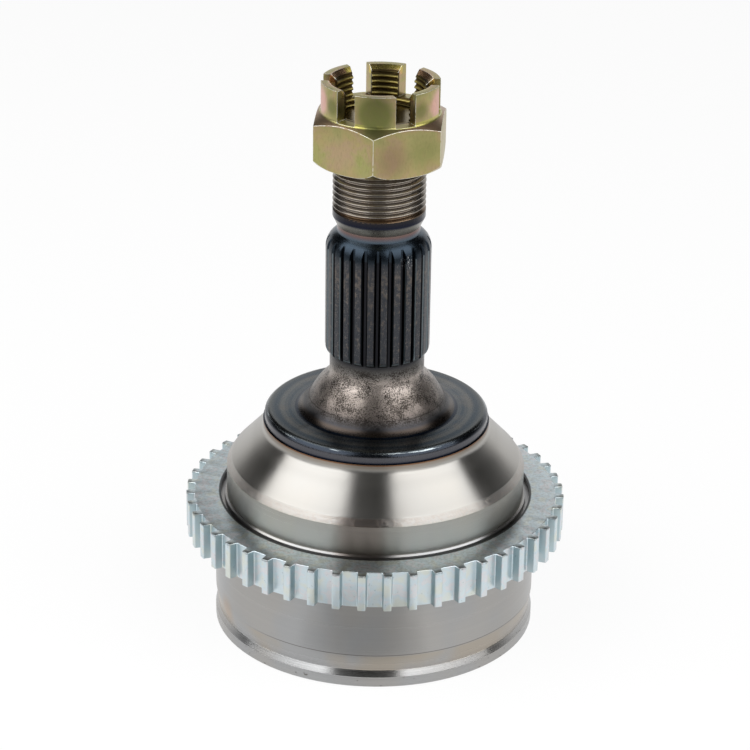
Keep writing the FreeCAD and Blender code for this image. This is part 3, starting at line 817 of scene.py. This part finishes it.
class JOINT_OT_castle_nut(bpy.types.Operator):
    """Slotted hub nut with its inner thread"""

    bl_idname = "joint.castle_nut"
    bl_label = "Castle nut"

    def execute(self, context):
        sizes, colours = context.scene.joint_sizes, context.scene.joint_colours
        slot_width, slot_depth, crown_step, crown_wall, roundness = 5.3 * MM, 8 * MM, 0.9 * MM, 1.9 * MM, 0.62 * MM
        corner, base, top = nut_high.y, nut_low.z, nut_high.z
        floor = top - slot_depth
        crown = corner * math.cos(math.pi / 6) - crown_step
        slope = math.tan(math.radians(30))
        deselect_all()
        bpy.ops.mesh.primitive_cylinder_add(vertices=6, radius=corner, depth=top - base,
                                            location=(0, 0, (top + base) / 2))
        nut = bpy.context.object
        nut.name = "hub_nut"
        nut.data.name = "hub_nut"
        colour = tuple(colours.yellow_zinc)
        nut.data.materials.append(yellow_zinc_plate("yellow_zinc", colour))
        nut.data.materials.append(yellow_zinc_plate("worn_yellow_zinc", colour, 0.85))
        bpy.ops.object.transform_apply(location=True)
        wide = corner + 0.02 * MM
        fillet = [(0.4, -0.23), (0.19, -0.08), (0.05, 0.14), (0, 0.46)]
        blank = turn("blank", [
            (0, base), *[(radius * MM, base + rise * MM) for radius, rise in NUT_UNDERSIDE], (wide, base + 2.9 * MM),
            (wide, floor - (wide - crown) * slope), *[(crown + out * MM, floor + rise * MM) for out, rise in fillet],
            (crown, top), (0, top)])
        combine(nut, blank, "INTERSECT")

        for pair in range(3):
            deselect_all()
            bpy.ops.mesh.primitive_cube_add(size=1, location=(0, 0, floor + 5 * MM))
            slot = bpy.context.object
            bpy.ops.transform.resize(value=(45 * MM, slot_width, 10 * MM))
            bpy.ops.object.transform_apply(location=True, scale=True)
            edit(slot, "SELECT")
            bpy.ops.transform.rotate(value=math.radians(60 * pair), orient_axis="Z", center_override=(0, 0, 0))
            leave_edit()
            combine(nut, slot, "DIFFERENCE")

        # The bore is plain for its lowest turns, so that the nut passes the plain band under the thread
        bore = sizes.thread_radius + 0.05 * MM
        mouth, narrow = crown - crown_wall, bore - 1 * MM
        relief, run_out = bore + 0.04 * MM, base + 3.6 * MM
        sink = turn("sink", [(0, base - MM), (relief + 1.7 * MM, base - MM), (relief, base + 0.7 * MM),
                             (relief, run_out), (narrow, run_out + MM), (narrow, top - (mouth - bore) - 1 * MM),
                             (mouth + 1 * MM, top + 1 * MM), (0, top + 1 * MM)])
        combine(nut, sink, "DIFFERENCE")
        tidy_shell(nut)

        edit(nut)
        bpy.ops.mesh.select_mode(type="EDGE")
        bpy.ops.mesh.edges_select_sharp(sharpness=math.radians(26))
        leave_edit()
        for edge in nut.data.edges:
            if min(nut.data.vertices[i].co.xy.length for i in edge.vertices) < bore + 0.5 * MM:
                edge.select = False
        bpy.ops.object.mode_set(mode="EDIT")
        bpy.ops.mesh.bevel(offset=roundness, segments=3, profile=0.5, affect="EDGES", clamp_overlap=True, material=1)
        leave_edit()
        tidy_shell(nut)

        outline = thread_outline(bore - 0.81 * MM, bore, sizes.thread_pitch, sizes.thread_phase)
        tap = threaded_rod("tap", outline, sizes.thread_pitch, base - 1 * MM, top + 1 * MM)
        combine(nut, tap, "DIFFERENCE")
        tidy_shell(nut)
        smooth_by_angle(nut)
        finish_piece(nut, None, "hub_nut", "nut_zinc", "castle_nut")
        return {"FINISHED"}


class JOINT_OT_inner_parts(bpy.types.Operator):
    """Finish the cage, star, spring ring and balls"""

    bl_idname = "joint.inner_parts"
    bl_label = "Parts inside"

    def execute(self, context):
        dress_node("cage", ground_steel("cage_steel", (0.22, 0.22, 0.23), 0.3))
        dress_node("inner_race", ground_steel("race_steel", (0.4, 0.4, 0.4), 0.25))
        dress_node("retaining_ring", ground_steel("spring_steel", (0.1, 0.1, 0.11), 0.35))
        ball_steel = ground_steel("ball_steel", (0.75, 0.75, 0.76), 0.06, 0.95)
        for number in range(1, 7):
            dress_node(f"ball_{number}", ball_steel)
        return {"FINISHED"}


# Stage

class JOINT_OT_stage(bpy.types.Operator):
    """Lay the floor and set the light and the camera"""

    bl_idname = "joint.stage"
    bl_label = "Floor, light and camera"

    def execute(self, context):
        dark_cloth = cloth("dark_cloth", 0.03)
        pale = lay_floor()
        fill_world(context.scene)
        hang_canopy(dark_cloth)
        hang_card("flag", dark_cloth, azimuth=0, distance=0.5, width=0.42, low=0.15, high=2.2)
        hang_card("backdrop", pale, azimuth=180, distance=1.2, width=1.4, low=0.0, high=1.1)
        lay_cloth(cloth("grey_cloth", 0.42))
        hang_softbox("softbox_left", azimuth=-60, watts=8.8)
        hang_softbox("softbox_right", azimuth=60, watts=8.3)
        set_camera(context.scene)
        return {"FINISHED"}


def seen_white(nodes, lit, strength=1.0):
    """Mix a shader with white where a camera, glossy or transmission ray meets it."""
    seen, glossy, transmission = (nodes.node("ShaderNodeLightPath", {}, {}, ray)
                                  for ray in ("Is Camera Ray", "Is Glossy Ray", "Is Transmission Ray"))
    for other in (glossy, transmission):
        seen = seen.maths("MAXIMUM", seen, other)
    white = nodes.node("ShaderNodeEmission", {}, {})
    return nodes.node("ShaderNodeMixShader", {}, {0: seen * strength, 1: lit, 2: white})


def cloth(name, grey):
    """Plain matt cloth of the stage."""
    return Finish(name, Base_Color=(grey, grey, grey), Roughness=1.0).material


def lay_floor():
    """A pale floor that keeps the object's shadow, faintly. Returns its material."""
    deselect_all()
    bpy.ops.mesh.primitive_plane_add(size=12, location=(0, 0, -0.2 * MM))
    floor = bpy.context.object
    floor.name = "floor"
    bpy.ops.object.transform_apply(location=True)
    material = bpy.data.materials.new("floor")
    material.use_nodes = True
    nodes = Nodes(material.node_tree)
    nodes.tree.nodes.clear()
    paint = nodes.node("ShaderNodeBsdfDiffuse", {}, {"Color": (0.86, 0.86, 0.86)})
    nodes.node("ShaderNodeOutputMaterial", {}, {"Surface": seen_white(nodes, paint, 0.9)})
    floor.data.materials.append(material)
    return material


def only_reflected(card, material):
    """Give a piece of the stage its material, and show it in the metal's reflections alone."""
    card.data.materials.append(material)
    card.visible_camera = card.visible_diffuse = card.visible_shadow = card.visible_transmission = False


def hang_canopy(material):
    """A dark cloth dome over the table, open low down behind."""
    centre, lean = (0, 0, 0.07), math.radians(15)
    deselect_all()
    bpy.ops.mesh.primitive_uv_sphere_add(segments=64, ring_count=32, radius=1.5, location=centre)
    canopy = bpy.context.object
    canopy.name = "canopy"
    bpy.ops.object.transform_apply(location=True)
    edit(canopy, "SELECT")
    bpy.ops.mesh.bisect(plane_co=centre, plane_no=(0, -math.sin(lean), math.cos(lean)), clear_inner=True)
    leave_edit()
    only_reflected(canopy, material)


def lay_cloth(material):
    """A small cloth on the table in front."""
    deselect_all()
    bpy.ops.mesh.primitive_plane_add(size=1, location=(0, -0.085, 0.001))
    strip = bpy.context.object
    strip.name = "table_cloth"
    strip.scale = (0.062, 0.07, 1)
    bpy.ops.object.transform_apply(location=True, scale=True)
    only_reflected(strip, material)


def hang_card(name, material, azimuth, distance, width, low, high):
    """An upright card that faces the object, between two heights."""
    turn = math.radians(azimuth)
    deselect_all()
    bpy.ops.mesh.primitive_plane_add(
        size=1, location=(math.sin(turn) * distance, -math.cos(turn) * distance, (low + high) / 2),
        rotation=(math.pi / 2, 0, turn))
    card = bpy.context.object
    card.name = name
    card.scale = (width, high - low, 1)
    bpy.ops.object.transform_apply(location=True, rotation=True, scale=True)
    only_reflected(card, material)


def hang_softbox(name, azimuth, watts, elevation=40, distance=0.9, size=(1.15, 0.85)):
    """A large soft lamp that looks at the middle of the object. The azimuth is counted from -Y towards +X."""
    middle = (cad_box[0] + cad_box[1]) / 2
    turn, lift = math.radians(azimuth), math.radians(elevation)
    away = Vector((math.sin(turn) * math.cos(lift), -math.cos(turn) * math.cos(lift), math.sin(lift)))
    lamp = bpy.data.lights.new(name, "AREA")
    lamp.shape = "RECTANGLE"
    lamp.size, lamp.size_y = size
    lamp.energy = watts
    box = bpy.data.objects.new(name, lamp)
    box.location = middle + away * distance
    box.rotation_mode = "QUATERNION"
    box.rotation_quaternion = (-away).to_track_quat("-Z", "Y")
    box.visible_camera = False
    bpy.context.scene.collection.objects.link(box)


def fill_world(scene):
    """White behind the object, and an even, lower light on it."""
    world = bpy.data.worlds.new("studio")
    scene.world = world
    world.use_nodes = True
    nodes = Nodes(world.node_tree)
    nodes.tree.nodes.clear()
    soft = nodes.node("ShaderNodeBackground", {}, {"Strength": 0.35})
    nodes.node("ShaderNodeOutputWorld", {}, {"Surface": seen_white(nodes, soft)})


def set_camera(scene):
    """Camera at the photograph's viewing angle. The rig is turned so that a nut corner faces -Y."""
    focal_length, frame_width, sensor = 2697.9, 750.0, 36.0    # pixels, pixels and millimetres
    heading, dip, roll = -0.0007, 0.4165, 0.0142               # radians
    ahead = Vector((math.sin(heading) * math.cos(dip), math.cos(heading) * math.cos(dip), -math.sin(dip)))
    level = Vector((math.cos(heading), -math.sin(heading), 0))
    above = level.cross(ahead)
    right = math.cos(roll) * level + math.sin(roll) * above
    up = -math.sin(roll) * level + math.cos(roll) * above
    swing = Matrix.Rotation(math.radians(5.2), 3, "Z")

    data = bpy.data.cameras.new("camera")
    data.sensor_width = sensor
    data.lens = focal_length * sensor / frame_width
    data.clip_start, data.clip_end = 0.01, 100.0
    camera = bpy.data.objects.new("camera", data)
    camera.rotation_mode = "QUATERNION"
    camera.rotation_quaternion = (swing @ Matrix([right, up, -ahead]).transposed()).to_quaternion()
    camera.location = swing @ Vector((0, -646.79 * MM, 355.29 * MM))
    scene.collection.objects.link(camera)
    scene.camera = camera


# Panel and run

class JOINT_PT_panel(bpy.types.Panel):
    """Lists the operators in the 3D view's sidebar."""

    bl_label = "Constant-velocity joint"
    bl_idname = "JOINT_PT_panel"
    bl_space_type = "VIEW_3D"
    bl_region_type = "UI"
    bl_category = "Joint"

    def draw(self, context):
        for operator in operators:
            self.layout.operator(operator.bl_idname)


operators = [JOINT_OT_bell, JOINT_OT_stub_thread, JOINT_OT_tone_ring, JOINT_OT_castle_nut, JOINT_OT_inner_parts,
             JOINT_OT_stage]
classes = [JointSizes, JointColours, *operators, JOINT_PT_panel]


def register():
    """Add the classes and the scene's own settings."""
    for cls in classes:
        bpy.utils.register_class(cls)
    bpy.types.Scene.joint_sizes = bpy.props.PointerProperty(type=JointSizes)
    bpy.types.Scene.joint_colours = bpy.props.PointerProperty(type=JointColours)


def unregister():
    """Take them out again."""
    del bpy.types.Scene.joint_colours
    del bpy.types.Scene.joint_sizes
    for cls in reversed(classes):
        bpy.utils.unregister_class(cls)


def main():
    """Build every piece in order."""
    register()
    bpy.context.scene.view_settings.view_transform = "Standard"
    bpy.ops.joint.bell()
    bpy.ops.joint.stub_thread()
    bpy.ops.joint.tone_ring()
    bpy.ops.joint.castle_nut()
    bpy.ops.joint.inner_parts()
    bpy.ops.joint.stage()


if __name__ == "__main__":
    main()
